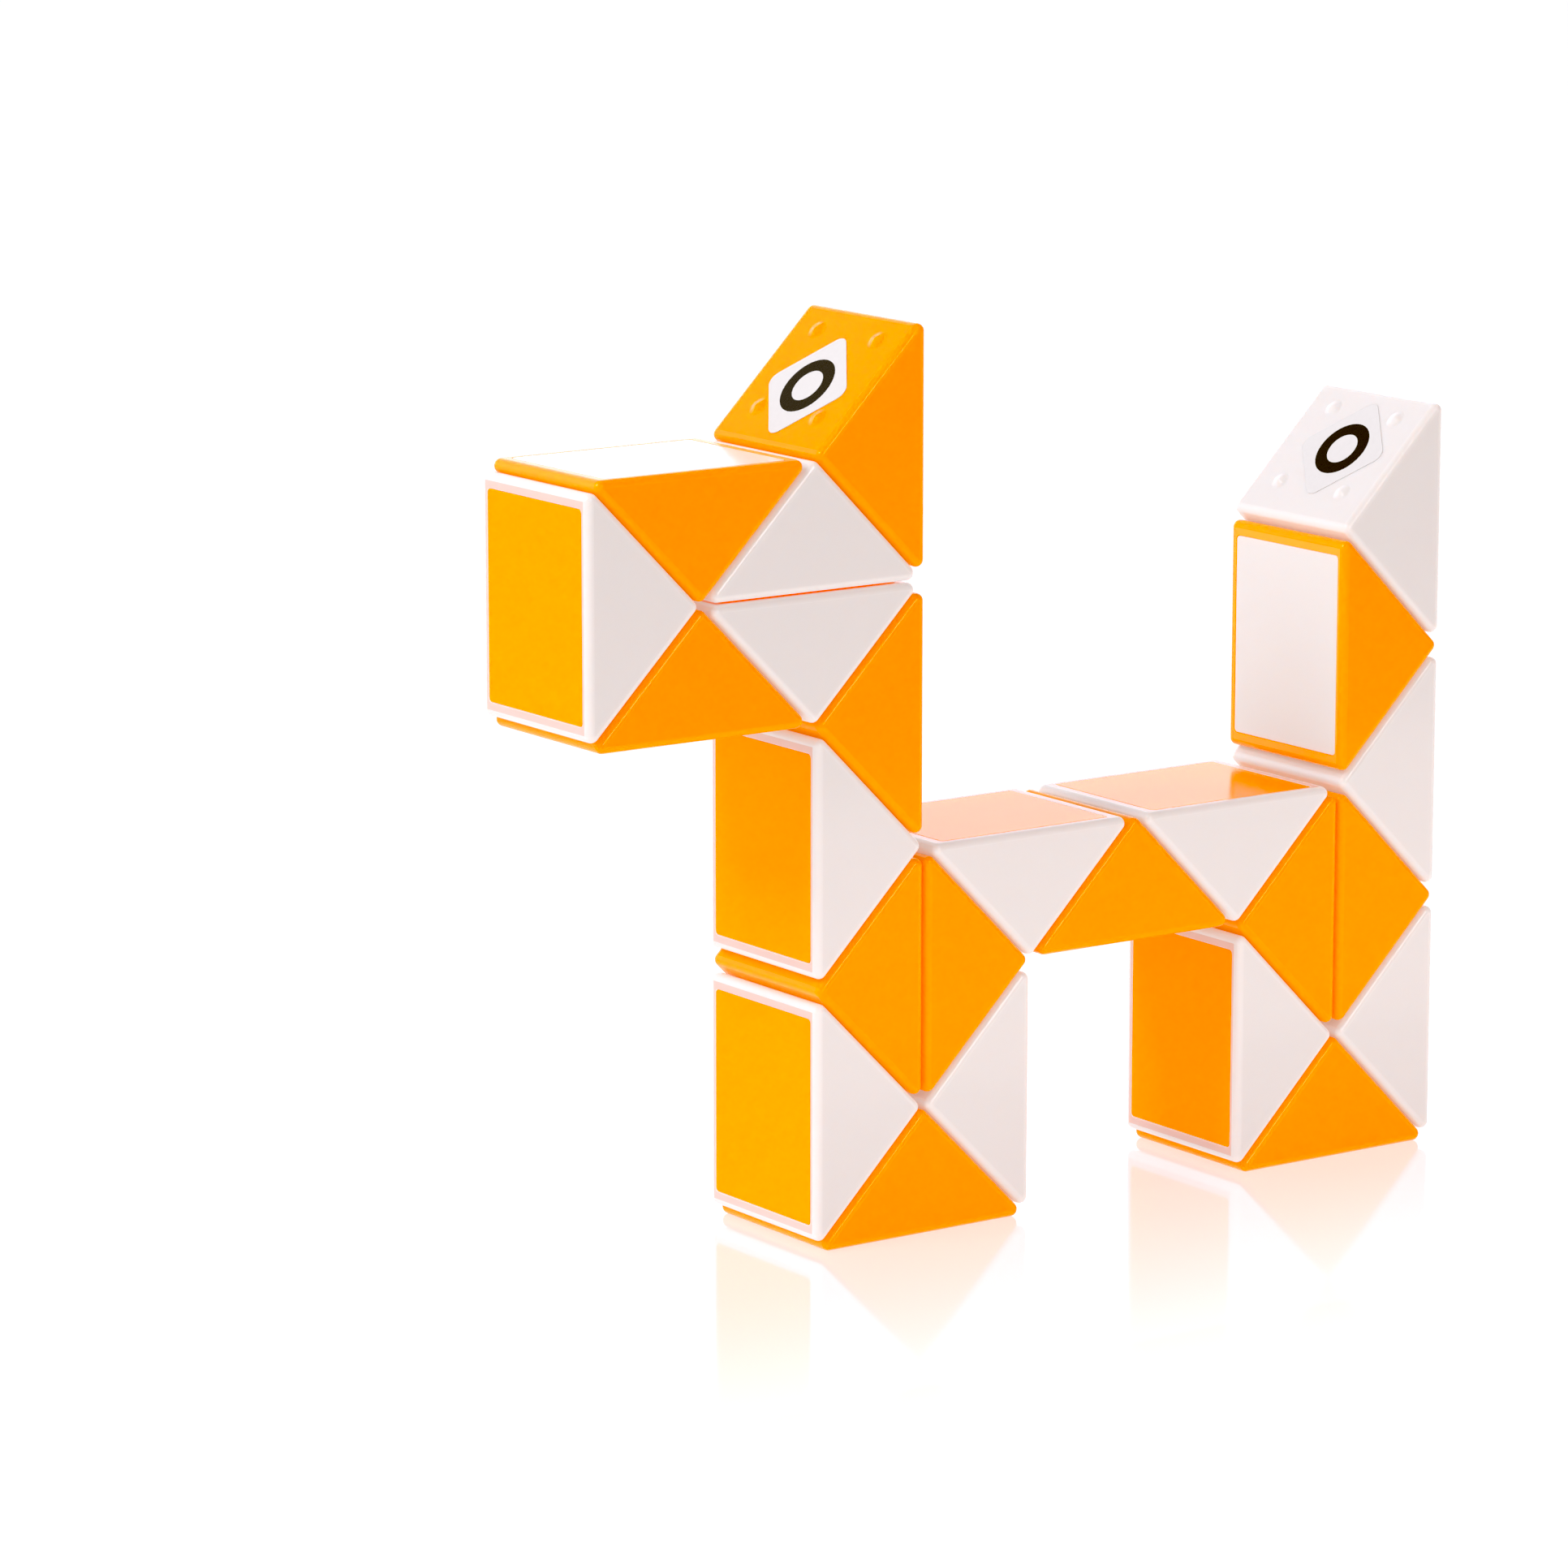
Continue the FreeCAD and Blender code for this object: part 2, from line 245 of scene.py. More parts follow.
class Skin:
    """A closed mesh, gathered face by face, with the exact normal at each corner of a face."""

    def __init__(self):
        self.points = []
        self.found = {}
        self.faces = []
        self.normals = []
        self.materials = []

    def index(self, point):
        key = (round(point.x, 4), round(point.y, 4), round(point.z, 4))
        if key not in self.found:
            self.found[key] = len(self.points)
            self.points.append(point)
        return self.found[key]

    def face(self, corners, material=BODY):
        """Adds the face through (point, normal) corners and turns it to look along the normals."""
        kept = []
        for point, normal in corners:
            index = self.index(point)
            if index not in [other for other, _ in kept]:
                kept.append((index, normal))
        if len(kept) < 3:
            return
        wound = Vector()
        for number, (index, _) in enumerate(kept):
            wound += self.points[index].cross(self.points[kept[number - 1][0]])
        if wound.dot(sum((normal for _, normal in kept), Vector())) > 0:
            kept.reverse()
        self.faces.append([index for index, _ in kept])
        self.normals.extend(normal for _, normal in kept)
        self.materials.append(material)

    def strips(self, rings, skip=None, material=BODY):
        """Joins neighbouring closed rings of (point, normal) pairs with the same number of points."""
        count = len(rings[0])
        for ring, (inner, outer) in enumerate(zip(rings, rings[1:])):
            for here in range(count):
                if skip and skip(ring, here):
                    continue
                after = (here + 1) % count
                self.face([inner[here], inner[after], outer[after], outer[here]], material)

    def flat(self, place, normal, outline, holes=(), material=BODY):
        """A plane face in 2-D outlines, which place() puts into the wedge's frame."""
        loops = [[Vector((u, v, 0)) for u, v in loop] for loop in (outline, *holes)]
        flat_points = [point for loop in loops for point in loop]
        for triangle in tessellate_polygon(loops):
            corners = [(place(flat_points[i].x, flat_points[i].y), normal) for i in triangle]
            self.face(corners, material)

    def build(self, name, matrix, materials):
        """The mesh object, with its points in the row frame, in metres."""
        mesh = bpy.data.meshes.new(name)
        mesh.from_pydata([matrix @ point for point in self.points], [], self.faces)
        mesh.polygons.foreach_set("use_smooth", [True] * len(self.faces))
        mesh.polygons.foreach_set("material_index", self.materials)
        turn = matrix.to_3x3().normalized()
        mesh.normals_split_custom_set([turn @ normal for normal in self.normals])
        for material in materials:
            mesh.materials.append(material)
        thing = bpy.data.objects.new(name, mesh)
        bpy.context.scene.collection.objects.link(thing)
        return thing


# ---------------------------------------------------------------- shapes in the wedge's frame

def arc(start, end, step=ARC_STEP):
    """Angles in radians from start to end, both in degrees, no further apart than step."""
    count = math.ceil(abs(end - start) / step)
    return [math.radians(start + (end - start) * i / count) for i in range(count + 1)]


def circle(radius, centre=(0, 0)):
    """2-D points round a circle."""
    turns = [2 * math.pi * i / ROUND_STEPS for i in range(ROUND_STEPS)]
    return [(centre[0] + radius * math.cos(t), centre[1] + radius * math.sin(t)) for t in turns]


def rounded_box(half_u, half_v, corner):
    """Arc centre and outward direction of each point round a rounded rectangle."""
    points = []
    for quarter in range(4):
        angles = arc(90 * quarter, 90 * quarter + 90)
        sign_u = 1 if quarter in (0, 3) else -1
        sign_v = 1 if quarter < 2 else -1
        centre = Vector((sign_u * (half_u - corner), sign_v * (half_v - corner)))
        points.extend((centre, Vector((math.cos(a), math.sin(a)))) for a in angles)
    return points


def grown(outline, radius):
    """2-D points of a rounded outline whose corners have the given radius."""
    return [tuple(centre + direction * radius) for centre, direction in outline]


class Leg:
    """One leg face, side -1 or 1: u runs towards the apex, v across, depth into the wedge."""

    def __init__(self, side):
        self.outward = Vector((side, 0, 1)).normalized()
        self.to_apex = Vector((-side, 0, 1)).normalized()

    def at(self, u, v, depth):
        return self.outward * (FACE_DEPTH - depth) + self.to_apex * u + Vector((0, v, 0))

    def plane(self, depth):
        return lambda u, v: self.at(u, v, depth)


def leg_height(x, z):
    """u on a leg face of the point (x, z) of the section, x counted without its sign."""
    return (z - x) / math.sqrt(2)


def section_outline():
    """Rounding centre and outward angle of each point round the wedge's section."""
    floor = LONG_GAP + ROUND
    half = HALF_DIAGONAL - math.sqrt(2) * (LEG_GAP + ROUND) - floor
    corners = [((-half, floor), -90, -225), ((0, floor + half), 135, 45), ((half, floor), 45, -90)]
    return [(centre, angle) for centre, start, end in corners for angle in arc(start, end)]


def add_outside(skin, leg_holes, seat):
    """Outer surface: rounded edges and corners as strips, and the five flats between them."""
    outline = section_outline()
    tilts = arc(0, 90)
    rings = []
    for side, steps in ((-1, reversed(tilts)), (1, tilts)):
        for tilt in steps:
            ring = []
            for (x, z), angle in outline:
                normal = Vector((math.cos(angle) * math.cos(tilt), side * math.sin(tilt),
                                 math.sin(angle) * math.cos(tilt)))
                core = Vector((x, side * CORE_HALF_WIDTH, z))
                ring.append((core + normal * ROUND, normal))
            rings.append(ring)
    middle = len(tilts) - 1
    count = len(outline)
    skin.strips(rings, material=EDGE, skip=lambda ring, here:
                ring == middle and outline[here][0] != outline[(here + 1) % count][0])
    for side in (-1, 1):
        end = Vector((0, side, 0))
        skin.face([(rings[0 if side < 0 else -1][i][0], end) for i in range(count)])
    (half, floor), (_, top) = outline[-1][0], outline[count // 2][0]
    low, high = leg_height(half, floor), leg_height(0, top)
    for side, holes in zip((-1, 1), leg_holes):
        leg = Leg(side)
        skin.flat(leg.plane(LEG_GAP), leg.outward, box_outline(low, high), holes)
    down = Vector((0, 0, -1))
    skin.flat(lambda u, v: Vector((u, v, LONG_GAP)), down, box_outline(-half, half), [seat], RIM)


def box_outline(low, high, v_low=-CORE_HALF_WIDTH, v_high=CORE_HALF_WIDTH):
    """Rectangle as 2-D points. It is as wide as the wedge's flats unless its width is given."""
    return [(low, v_low), (high, v_low), (high, v_high), (low, v_high)]


def add_rim(skin, outline, corner, rim, inward, deep):
    """Rounded mouth or rim of a plate-shaped hole or plate, and its straight wall down to deep.

    inward is -1 round a hole, whose material lies outside the outline, and 1 round a plate.
    """
    rings = []
    for angle in arc(0, 90, RIM_ARC_STEP):
        ring = []
        for centre, direction in outline:
            lean = direction * (inward * math.sin(angle))
            normal = Vector((lean.x, lean.y, -math.cos(angle)))
            radius = corner - inward * rim * (1 - math.sin(angle))
            flat = centre + direction * radius
            ring.append((Vector((flat.x, flat.y, LONG_GAP + rim * (1 - math.cos(angle)))), normal))
        rings.append(ring)
    skin.strips(rings)
    wall = [(Vector((point.x, point.y, deep)), normal) for point, normal in rings[-1]]
    skin.strips([rings[-1], wall])


def add_lathe(skin, leg, profile):
    """Round joint feature on a leg's axis from (radius, depth) points, material on their left."""
    for (radius_a, depth_a), (radius_b, depth_b) in zip(profile, profile[1:]):
        along = Vector((radius_b - radius_a, depth_b - depth_a)).normalized()
        rings = []
        for radius, depth in ((radius_a, depth_a), (radius_b, depth_b)):
            ring = []
            for u, v in circle(1):
                radial = leg.to_apex * u + Vector((0, v, 0))
                normal = radial * -along.y - leg.outward * along.x
                ring.append((leg.at(u * radius, v * radius, depth), normal))
            rings.append(ring)
        skin.strips(rings)


def add_dome(skin, leg, centre, radius, height):
    """Soft round bump on a leg face, or a dimple when height is negative."""
    rings = []
    for step in range(DOME_STEPS + 1):
        phase = math.pi * (1 - step / DOME_STEPS)
        rise = height * (1 + math.cos(phase)) / 2
        slope = height * math.pi / (2 * radius) * math.sin(phase)
        ring = []
        for (u, v), (flat_u, flat_v) in zip(circle(1), circle(radius * phase / math.pi, centre)):
            radial = leg.to_apex * u + Vector((0, v, 0))
            normal = (leg.outward + radial * slope).normalized()
            ring.append((leg.at(flat_u, flat_v, LEG_GAP - rise), normal))
        rings.append(ring)
    skin.strips(rings)


def add_pocket(skin, v_near, v_far, ledge, leg_holes):
    """One pocket of the hollow shell, from wall v_near to wall v_far, which may carry a ledge.

    Returns the outline of its mouth in the floor of the seat.
    """
    reach = HALF_DIAGONAL - math.sqrt(2) * (LEG_GAP + WALL)
    step_z = SEAT_DEPTH + (LEDGE_HEIGHT if ledge else 0)
    way = math.copysign(1, v_far - v_near)
    v_mouth = v_far - way * (LEDGE_WIDTH if ledge else 0)
    mouth_half, step_half = reach - SEAT_DEPTH, reach - step_z
    near_wall = [(-mouth_half, SEAT_DEPTH), (mouth_half, SEAT_DEPTH), (0, reach)]
    far_wall = [(-step_half, step_z), (step_half, step_z), (0, reach)]
    sill = near_wall[:2] + far_wall[1::-1]
    walls = ((near_wall, v_near, way), (far_wall, v_far, -way), (sill, v_mouth, -way))
    for wall, v, facing in walls:
        skin.face([(Vector((x, v, z)), Vector((0, facing, 0))) for x, z in wall])
    step = ((-step_half, v_mouth), (step_half, v_mouth), (step_half, v_far), (-step_half, v_far))
    skin.face([(Vector((x, v, step_z)), Vector((0, 0, 1))) for x, v in step])
    u_mouth, u_step, u_top = -mouth_half + SEAT_DEPTH, -step_half + step_z, reach
    outline = [(u_mouth, v_near), (u_mouth, v_mouth), (u_step, v_mouth),
               (u_step, v_far), (u_top, v_far), (u_top, v_near)]
    outline = [(u / math.sqrt(2), v) for u, v in outline]
    if not ledge:
        outline = [outline[0], outline[1], outline[4], outline[5]]
    for side, hole in zip((-1, 1), leg_holes):
        leg = Leg(side)
        skin.flat(leg.plane(LEG_GAP + WALL), -leg.outward, outline, hole)
    return [(-mouth_half, v_near), (mouth_half, v_near),
            (mouth_half, v_mouth), (-mouth_half, v_mouth)]


SPRUNG_JOINT = [
    (SCREW_RADIUS + SCREW_CLEARANCE, LEG_GAP),
    (SCREW_RADIUS + SCREW_CLEARANCE, LEG_GAP + WALL),
    (SPRING_BORE, LEG_GAP + WALL),
    (SPRING_BORE, LEG_GAP + WALL + SPRING_TUBE_HEIGHT),
    (SPRING_TUBE, LEG_GAP + WALL + SPRING_TUBE_HEIGHT),
    (SPRING_TUBE, LEG_GAP + WALL),
]
THREADED_JOINT = [
    (COLLAR_RADIUS, LEG_GAP),
    (COLLAR_RADIUS, -COLLAR_RISE),
    (SCREW_RADIUS, -COLLAR_RISE),
    (SCREW_RADIUS, BOSS_DEPTH),
    (BOSS_RADIUS, BOSS_DEPTH),
    (BOSS_RADIUS, LEG_GAP + WALL),
]


def leg_kinds(number, last):
    """What the near and the far leg face of a wedge carry."""
    kind = "threaded" if number % 2 == 0 else "sprung"
    return ("free" if number == 1 else kind, "free" if number == last else kind)


def add_leg_features(skin, side, kind):
    """Joint, bumps and dimples of a leg face. Returns its holes outside and inside the wall."""
    leg = Leg(side)
    outside, inside = [], []
    corners = [(u, v) for u in (-BUMP_OFFSET, BUMP_OFFSET) for v in (-BUMP_OFFSET, BUMP_OFFSET)]
    radius, height = BUMP_RADIUS, BUMP_HEIGHT
    if kind == "threaded":
        radius, height = DIMPLE_RADIUS, -DIMPLE_DEPTH
    for corner in corners:
        add_dome(skin, leg, corner, radius, height)
        outside.append(circle(radius, corner))
    if kind != "free":
        profile = THREADED_JOINT if kind == "threaded" else SPRUNG_JOINT
        add_lathe(skin, leg, profile)
        outside.append(circle(profile[0][0]))
        inside.append(circle(profile[-1][0]))
    return outside, inside


def shell_skin(kinds):
    """Hollow shell with the given kinds of near and far leg face."""
    skin = Skin()
    holes = [add_leg_features(skin, side, kind) for side, kind in zip((-1, 1), kinds)]
    corner = COVER_CORNER + SEAT_CLEARANCE
    half_length, half_width = COVER_HALF_LENGTH + SEAT_CLEARANCE, COVER_HALF_WIDTH + SEAT_CLEARANCE
    seat = rounded_box(half_length, half_width, corner)
    add_outside(skin, [outside for outside, _ in holes], grown(seat, corner + SEAT_RIM))
    add_rim(skin, seat, corner, SEAT_RIM, -1, SEAT_DEPTH)
    inner_holes = [inside for _, inside in holes]
    rib_near, rib_far = RIB_OFFSET - RIB_THICKNESS / 2, RIB_OFFSET + RIB_THICKNESS / 2
    mouths = [add_pocket(skin, -rib_near, rib_near, False, inner_holes)]
    for way in (-1, 1):
        side_pocket = way * rib_far, way * POCKET_HALF_WIDTH
        mouths.append(add_pocket(skin, *side_pocket, True, ([], [])))
    down = Vector((0, 0, -1))
    skin.flat(lambda u, v: Vector((u, v, SEAT_DEPTH)), down, grown(seat, corner), mouths)
    return skin


def cover_skin():
    """Cover plate with a softly rounded rim, and a barbed snap tab along each long side."""
    skin = Skin()
    down, up = Vector((0, 0, -1)), Vector((0, 0, 1))
    outline = rounded_box(COVER_HALF_LENGTH, COVER_HALF_WIDTH, COVER_CORNER)
    add_rim(skin, outline, COVER_CORNER, COVER_EDGE, 1, SEAT_DEPTH)
    skin.flat(lambda u, v: Vector((u, v, LONG_GAP)), down, grown(outline, COVER_CORNER - COVER_EDGE))
    v_out = POCKET_HALF_WIDTH - LEDGE_WIDTH - TAB_CLEARANCE
    v_in = v_out - TAB_THICKNESS
    barb = SEAT_DEPTH + LEDGE_HEIGHT + TAB_CLEARANCE
    tip = SEAT_DEPTH + TAB_DEPTH
    profile = [(v_in, SEAT_DEPTH), (v_in, tip), (v_out, tip), (v_out + BARB, barb + BARB_HEIGHT),
               (v_out + BARB, barb), (v_out, barb), (v_out, SEAT_DEPTH)]
    roots = []
    for way in (-1, 1):
        section = [(way * v, z) for v, z in profile]
        for (v_a, z_a), (v_b, z_b) in zip(section, section[1:]):
            normal = Vector((0, z_a - z_b, v_b - v_a)).normalized() * way
            skin.face([(Vector((x, v, z)), normal) for x, v, z in (
                (-TAB_HALF_LENGTH, v_a, z_a), (TAB_HALF_LENGTH, v_a, z_a),
                (TAB_HALF_LENGTH, v_b, z_b), (-TAB_HALF_LENGTH, v_b, z_b))])
        for end in (-1, 1):
            x = end * TAB_HALF_LENGTH
            skin.flat(lambda v, z: Vector((x, v, z)), Vector((end, 0, 0)), section)
        across = sorted((way * v_in, way * v_out))
        roots.append(box_outline(-TAB_HALF_LENGTH, TAB_HALF_LENGTH, *across))
    skin.flat(lambda u, v: Vector((u, v, SEAT_DEPTH)), up, grown(outline, COVER_CORNER), roots)
    return skin


def label_skin(side, centre):
    """Thin label with rounded corners, set cornerwise on a free leg face, with a plain ring."""
    skin = Skin()
    leg = Leg(side)
    outline = grown(rounded_box(LABEL_HALF, LABEL_HALF, LABEL_CORNER), LABEL_CORNER)
    turned = math.sqrt(0.5)

    def place(depth):
        return lambda p, q: leg.at(centre[0] + (p + q) * turned, centre[1] + (p - q) * turned, depth)

    top, bottom = place(LEG_GAP - LABEL_THICKNESS), place(LEG_GAP)
    inner, outer = (circle(radius) for radius in LABEL_RING)
    skin.flat(top, leg.outward, outline, [outer])
    skin.flat(top, leg.outward, outer, [inner], material=RING)
    skin.flat(top, leg.outward, inner)
    skin.flat(bottom, -leg.outward, outline)
    middle = top(0, 0)
    rims = []
    for level in (top, bottom):
        rims.append([(level(p, q), (top(p, q) - middle).normalized()) for p, q in outline])
    skin.strips(rims)
    return skin


# ---------------------------------------------------------------- places from the frame

def dominant_axis(direction):
    """The unit vector of the frame's axis that the direction follows most."""
    axis = max(range(3), key=lambda i: abs(direction[i]))
    unit = Vector((0, 0, 0))
    unit[axis] = math.copysign(1, direction[axis])
    return unit


def joint_place(first):
    """Where the joint between this wedge and the next one lies, in metres."""
    name = "turn_%02d_%02d" % (first, first + 1)
    joint = next(joint for joint in frame["joints"] if joint["name"] == name)
    return Vector(joint["pos_m"])


def wedge_matrix(number, last):
    """From the wedge's own frame in millimetres to the row frame in metres."""
    shell_low, shell_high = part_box("wedge_%02d_shell" % number)
    cover_low, cover_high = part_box("wedge_%02d_cover" % number)
    middle = (shell_low + shell_high) / 2
    up = dominant_axis(middle - (cover_low + cover_high) / 2)
    long_face = min(cover_low.dot(up), cover_high.dot(up)) - LONG_GAP * MM
    base = middle + up * (long_face - middle.dot(up))
    towards_next = joint_place(number) - base if number < last else base - joint_place(number - 1)
    along = dominant_axis(towards_next - up * towards_next.dot(up))
    side = up.cross(along)
    matrix = Matrix((along, side, up)).transposed().to_4x4() @ Matrix.Scale(MM, 4)
    matrix.translation = base
    return matrix


# ---------------------------------------------------------------- materials

class Nodes:
    """Small helper for node trees: add a node, set its sockets, link it."""

    def __init__(self, tree):
        self.tree = tree
        tree.nodes.clear()

    def add(self, kind, settings=None, **values):
        node = self.tree.nodes.new(kind)
        for name, value in (settings or {}).items():
            setattr(node, name, value)
        for name, value in values.items():
            socket = node.inputs[name.replace("_", " ")]
            if isinstance(value, bpy.types.NodeSocket):
                self.tree.links.new(value, socket)
            else:
                socket.default_value = value
        return node

    def connect(self, node, inputs):
        """Fills a node's inputs by number, each with a socket or a plain value."""
        for number, value in inputs.items():
            if isinstance(value, bpy.types.NodeSocket):
                self.tree.links.new(value, node.inputs[number])
            else:
                node.inputs[number].default_value = value
        return node

    def tone(self, factor, first, second):
        """Colour between two others."""
        node = self.add("ShaderNodeMix", {"data_type": "RGBA"}, Factor=factor)
        return self.connect(node, {6: first, 7: second}).outputs[2]

    def product(self, first, second):
        node = self.add("ShaderNodeMath", {"operation": "MULTIPLY"})
        return self.connect(node, {0: first, 1: second}).outputs["Value"]

    def vector(self, operation, *inputs):
        node = self.add("ShaderNodeVectorMath", {"operation": operation})
        return self.connect(node, dict(enumerate(inputs)))

    def either(self, factor, first, second):
        """Mix of two shaders."""
        node = self.add("ShaderNodeMixShader", Fac=factor)
        return self.connect(node, {1: first, 2: second}).outputs["Shader"]

    def span(self, value, ends, low=0.0, high=1.0):
        """Goes from low to high while the value goes from one end to the other."""
        node = self.add("ShaderNodeMapRange", Value=value, From_Min=ends[0], From_Max=ends[1],
                        To_Min=low, To_Max=high)
        return node.outputs["Result"]


def new_material(name):
    material = bpy.data.materials.new(name)
    material.use_nodes = True
    return material, Nodes(material.node_tree)


def opaque(colour):
    return (*colour, 1.0)


def moulded_plastic(name, colour, deep, tint, bleed, painted_glow):
    """Satin moulded plastic, slightly translucent: pigment flow, faint orange peel, worn gloss.

    It also has a painted glow: a faint even emission that stands in for the light which the thin
    walls carry from the lit faces into the gaps.
    """
    material, nodes = new_material(name)
    place = nodes.add("ShaderNodeTexCoord").outputs["Object"]
    flow = nodes.add("ShaderNodeTexNoise", Vector=place, Scale=FLOW_SCALE, Detail=2.0)
    tone = nodes.tone(flow.outputs["Fac"], opaque(deep), opaque(colour))
    wear = nodes.add("ShaderNodeTexNoise", Vector=place, Scale=WEAR_SCALE, Detail=4.0)
    gloss = nodes.span(wear.outputs["Fac"], (0.0, 1.0), PLASTIC_ROUGHNESS - PLASTIC_WEAR,
                       PLASTIC_ROUGHNESS + PLASTIC_WEAR)
    peel = nodes.add("ShaderNodeTexNoise", Vector=place, Scale=PEEL_SCALE, Detail=1.0)
    bump = nodes.add("ShaderNodeBump", Height=peel.outputs["Fac"], Strength=PEEL_STRENGTH,
                     Distance=PEEL_DISTANCE)
    # The emission is a painted glow.
    shader = nodes.add("ShaderNodeBsdfPrincipled", Base_Color=tone, Roughness=gloss,
                       Normal=bump.outputs["Normal"], IOR=PLASTIC_IOR,
                       Subsurface_Weight=BLEED_WEIGHT, Subsurface_Radius=bleed,
                       Subsurface_Scale=BLEED_DEPTH, Specular_Tint=opaque(tint),
                       Emission_Color=opaque(painted_glow), Emission_Strength=1.0)
    nodes.add("ShaderNodeOutputMaterial", Surface=shader.outputs["BSDF"])
    return material


def printed_film(name, colour, roughness):
    """Glossy label film with a faint weave of the print roller in its gloss."""
    material, nodes = new_material(name)
    place = nodes.add("ShaderNodeTexCoord").outputs["Object"]
    grain = nodes.add("ShaderNodeTexNoise", Vector=place, Scale=FILM_GRAIN_SCALE, Detail=2.0)
    shade = tuple(FILM_SHADE * part for part in colour)
    tone = nodes.tone(grain.outputs["Fac"], opaque(shade), opaque(colour))
    gloss = nodes.span(grain.outputs["Fac"], (0.0, 1.0), roughness, roughness + FILM_WEAR)
    shader = nodes.add("ShaderNodeBsdfPrincipled", Base_Color=tone, Roughness=gloss, IOR=FILM_IOR,
                       Specular_IOR_Level=FILM_SPECULAR)
    nodes.add("ShaderNodeOutputMaterial", Surface=shader.outputs["BSDF"])
    return material


def plated_steel(name, colour):
    """Zinc-plated steel of the screws, washers and springs."""
    material, nodes = new_material(name)
    place = nodes.add("ShaderNodeTexCoord").outputs["Object"]
    grain = nodes.add("ShaderNodeTexNoise", Vector=place, Scale=STEEL_GRAIN_SCALE, Detail=3.0)
    gloss = nodes.span(grain.outputs["Fac"], (0.0, 1.0), *STEEL_ROUGHNESS)
    bump = nodes.add("ShaderNodeBump", Height=grain.outputs["Fac"], Strength=STEEL_BUMP,
                     Distance=STEEL_BUMP_DISTANCE)
    shader = nodes.add("ShaderNodeBsdfPrincipled", Base_Color=opaque(colour), Metallic=1.0,
                       Roughness=gloss, Normal=bump.outputs["Normal"])
    nodes.add("ShaderNodeOutputMaterial", Surface=shader.outputs["BSDF"])
    return material


# ---------------------------------------------------------------- the puzzle

def plastics():
    """Materials of a skin's body, rim and edges, in that order, for each of the record's slots. All
    have a painted glow; the rims' colour and glow hold painted bounce light from the cover, and the
    edges' glow is a painted highlight.
    """
    oranges = (("orange_moulded", ORANGE, ORANGE_DEEP, ORANGE_PAINTED_GLOW),
               ("orange_rim_painted_bounce", ORANGE_RIM_PAINTED_BOUNCE, ORANGE_RIM_PAINTED_BOUNCE, ORANGE_RIM_PAINTED_GLOW),
               ("orange_edge_painted_highlight", ORANGE, ORANGE_DEEP, ORANGE_EDGE_PAINTED_HIGHLIGHT))
    whites = (("white_moulded", WHITE, WHITE_COOL, WHITE_PAINTED_GLOW),
              ("white_rim_painted_bounce", WHITE_RIM_PAINTED_BOUNCE, WHITE_RIM_PAINTED_BOUNCE, WHITE_RIM_PAINTED_GLOW),
              ("white_edge_painted_highlight", WHITE, WHITE_COOL, WHITE_EDGE_PAINTED_HIGHLIGHT))
    orange = [moulded_plastic(name, colour, deep, ORANGE_TINT, ORANGE_BLEED, painted_glow)
              for name, colour, deep, painted_glow in oranges]
    white = [moulded_plastic(name, colour, deep, WHITE_TINT, WHITE_BLEED, painted_glow)
             for name, colour, deep, painted_glow in whites]
    return [("orange_plastic", orange), ("white_plastic", white)]


def build_puzzle():
    """All the skins and labels, each on its body, and the look of the screws."""
    pair = plastics()
    steel = plated_steel("plated_steel", STEEL)
    film = printed_film("label_film", LABEL_WHITE, LABEL_ROUGHNESS)
    ink = printed_film("label_ink", INK, INK_ROUGHNESS)
    numbers = sorted(int(body.split("_")[1]) for body in frame["bodies"])
    last = numbers[-1]
    plain_cover = cover_skin()
    for number in numbers:
        matrix = wedge_matrix(number, last)
        body = "wedge_%02d" % number
        colours = pair if number % 2 else pair[::-1]
        skins = [("shell", shell_skin(leg_kinds(number, last)), SHELL_MATERIALS),
                 ("cover", plain_cover, COVER_MATERIALS)]
        for (part, skin, count), (slot, materials) in zip(skins, colours):
            piece = skin.build("%s_%s_skin" % (body, part), matrix, materials[:count])
            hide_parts("%s_%s" % (body, part))
            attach(piece, body)
    labels = (("ear_label", 1, -1, EAR_LABEL_CENTRE), ("tail_label", last, 1, TAIL_LABEL_CENTRE))
    for name, number, side, centre in labels:
        label = label_skin(side, centre).build(name, wedge_matrix(number, last), [film, ink])
        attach(label, "wedge_%02d" % number)
    for name, node in frame["nodes"].items():
        if name.endswith("_screws"):
            node.data.materials.clear()
            node.data.materials.append(steel)


# ---------------------------------------------------------------- floor, light and camera

